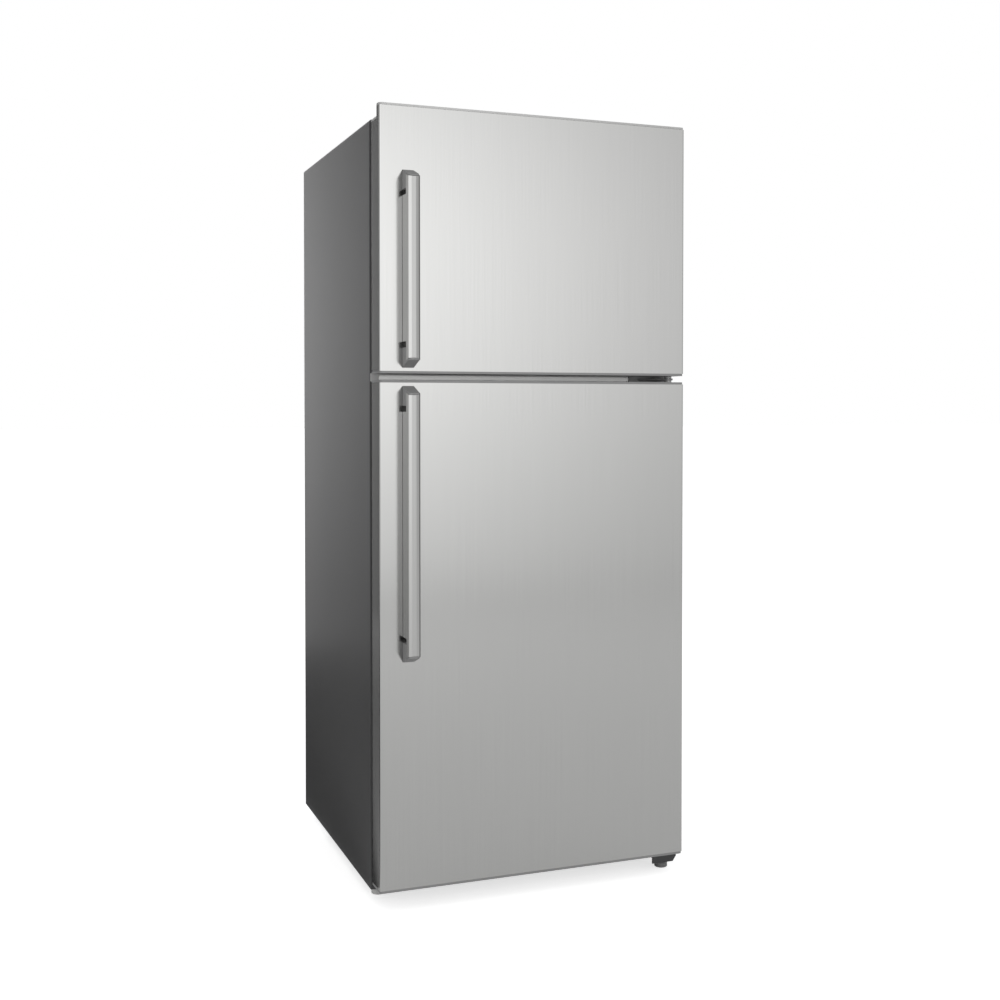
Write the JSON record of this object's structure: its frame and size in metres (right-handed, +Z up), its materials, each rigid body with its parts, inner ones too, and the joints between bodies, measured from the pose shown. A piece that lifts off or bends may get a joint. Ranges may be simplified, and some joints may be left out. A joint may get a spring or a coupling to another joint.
{
  "type": "top freezer refrigerator",
  "caption": "Free-standing refrigerator with a freezer compartment on top, brushed steel doors hinged on the right, upright bar handles, and grey painted sides.",
  "frame": {"origin": "on the floor, under the middle of the whole refrigerator's box with its doors shut", "axes": "+Z up, +X to the right as seen from the front, +Y towards the back, so the doors face -Y"},
  "size_m": [0.7, 0.758, 1.663],
  "materials": {
    "stainless": "brushed vertically, satin",
    "cabinet_paint": "smooth satin grey paint",
    "zinc_sheet": "galvanised sheet",
    "black_steel": "black enamel",
    "handle_aluminium": "brushed anodised",
    "coil_aluminium": "bare",
    "copper_tube": "copper, dull",
    "dark_plastic": "fine texture",
    "silver_plastic": "satin",
    "white_plastic": "smooth, semi-gloss",
    "clear_plastic": "clear, moulded",
    "shelf_wire": "white coated wire",
    "shelf_glass": "tempered glass",
    "grey_rubber": "soft, matt",
    "foot_rubber": "matt",
    "rigid_foam": "fine closed cells"
  },
  "bodies": {
    "cabinet": {"cabinet_shell": "cabinet_paint", "rear_panel": "zinc_sheet", "bottom_deck": "cabinet_paint", "insulation_foam": "rigid_foam", "freezer_liner": "white_plastic", "fridge_liner": "white_plastic", "mullion_cover": "silver_plastic", "base_plate": "zinc_sheet", "compressor": "black_steel", "refrigerant_pipe": "copper_tube", "drain_pan": "dark_plastic", "compressor_cover": "zinc_sheet", "cord_gland": "foot_rubber", "evaporator_coil": "coil_aluminium", "evaporator_cover": "white_plastic", "fan_motor": "dark_plastic", "freezer_shelf": "shelf_wire", "ice_frame": "clear_plastic", "air_duct": "white_plastic", "control_box": "white_plastic", "lamp_cover": "clear_plastic", "glass_shelf_1": "shelf_glass", "glass_shelf_2": "shelf_glass", "crisper_cover": "shelf_glass", "top_hinge": "zinc_sheet", "top_hinge_cover": "dark_plastic", "middle_hinge": "black_steel", "bottom_hinge": "black_steel"},
    "evaporator_fan": {"evaporator_fan": "dark_plastic"},
    "ice_tray": {"ice_tray": "white_plastic"},
    "thermostat_knob": {"thermostat_knob": "silver_plastic"},
    "light_switch": {"light_switch": "white_plastic"},
    "crisper_drawer": {"crisper_drawer": "clear_plastic"},
    "left_foot": {"left_foot": "silver_plastic"},
    "right_foot": {"right_foot": "foot_rubber"},
    "left_roller": {"left_roller": "dark_plastic"},
    "right_roller": {"right_roller": "dark_plastic"},
    "freezer_door": {"freezer_door_skin": "stainless", "freezer_door_liner": "white_plastic", "freezer_door_foam": "rigid_foam", "freezer_door_top_cap": "silver_plastic", "freezer_door_bottom_cap": "dark_plastic", "freezer_door_gasket": "grey_rubber", "freezer_door_bin_1": "clear_plastic", "freezer_door_bin_2": "clear_plastic", "freezer_handle_bar": "handle_aluminium", "freezer_handle_upper_mount": "dark_plastic", "freezer_handle_lower_mount": "dark_plastic"},
    "fridge_door": {"fridge_door_skin": "stainless", "fridge_door_liner": "white_plastic", "fridge_door_foam": "rigid_foam", "fridge_door_top_cap": "dark_plastic", "fridge_door_bottom_cap": "dark_plastic", "fridge_door_gasket": "grey_rubber", "fridge_door_bin_1": "clear_plastic", "fridge_door_bin_2": "clear_plastic", "fridge_door_bin_3": "clear_plastic", "fridge_handle_bar": "handle_aluminium", "fridge_handle_upper_mount": "dark_plastic", "fridge_handle_lower_mount": "dark_plastic"}
  },
  "joints": [
    {"name": "freezer_door_hinge", "type": "hinge", "parent": "cabinet", "child": "freezer_door", "pos_m": [0.33, -0.299, 1.375], "axis": [0, 0, 1], "range_deg": [0, 120]},
    {"name": "fridge_door_hinge", "type": "hinge", "parent": "cabinet", "child": "fridge_door", "pos_m": [0.33, -0.299, 0.57], "axis": [0, 0, 1], "range_deg": [0, 120]},
    {"name": "crisper_slide", "type": "slide", "parent": "cabinet", "child": "crisper_drawer", "axis": [0, -1, 0], "range_m": [0, 0.2]},
    {"name": "switch_travel", "type": "slide", "parent": "cabinet", "child": "light_switch", "axis": [0, -1, 0], "range_m": [0, 0.008]},
    {"name": "ice_tray_twist", "type": "hinge", "parent": "cabinet", "child": "ice_tray", "pos_m": [-0.224, 0.009, 1.4604], "axis": [0, 1, 0], "range_deg": [0, 150], "stiffness_Nm_per_rad": 0.08},
    {"name": "thermostat_turn", "type": "hinge", "parent": "cabinet", "child": "thermostat_knob", "pos_m": [0.056, -0.231, 1.059], "axis": [0, -1, 0], "range_deg": [0, 270]},
    {"name": "fan_spin", "type": "hinge", "parent": "cabinet", "child": "evaporator_fan", "pos_m": [0, 0.279, 1.508], "axis": [0, 1, 0], "continuous": true},
    {"name": "left_foot_screw", "type": "hinge", "parent": "cabinet", "child": "left_foot", "pos_m": [-0.322, -0.215, 0.02], "axis": [0, 0, 1], "continuous": true},
    {"name": "right_foot_screw", "type": "hinge", "parent": "cabinet", "child": "right_foot", "pos_m": [0.323, -0.284, 0.02], "axis": [0, 0, 1], "continuous": true},
    {"name": "left_roller_spin", "type": "hinge", "parent": "cabinet", "child": "left_roller", "pos_m": [-0.3, 0.339, 0.013], "axis": [1, 0, 0], "continuous": true},
    {"name": "right_roller_spin", "type": "hinge", "parent": "cabinet", "child": "right_roller", "pos_m": [0.3, 0.339, 0.013], "axis": [1, 0, 0], "continuous": true}
  ],
  "couplings": [
    {"joint": "crisper_slide", "follows": "fridge_door_hinge", "m_per_rad": 0.0954},
    {"joint": "switch_travel", "follows": "fridge_door_hinge", "m_per_rad": 0.0038}
  ]
}
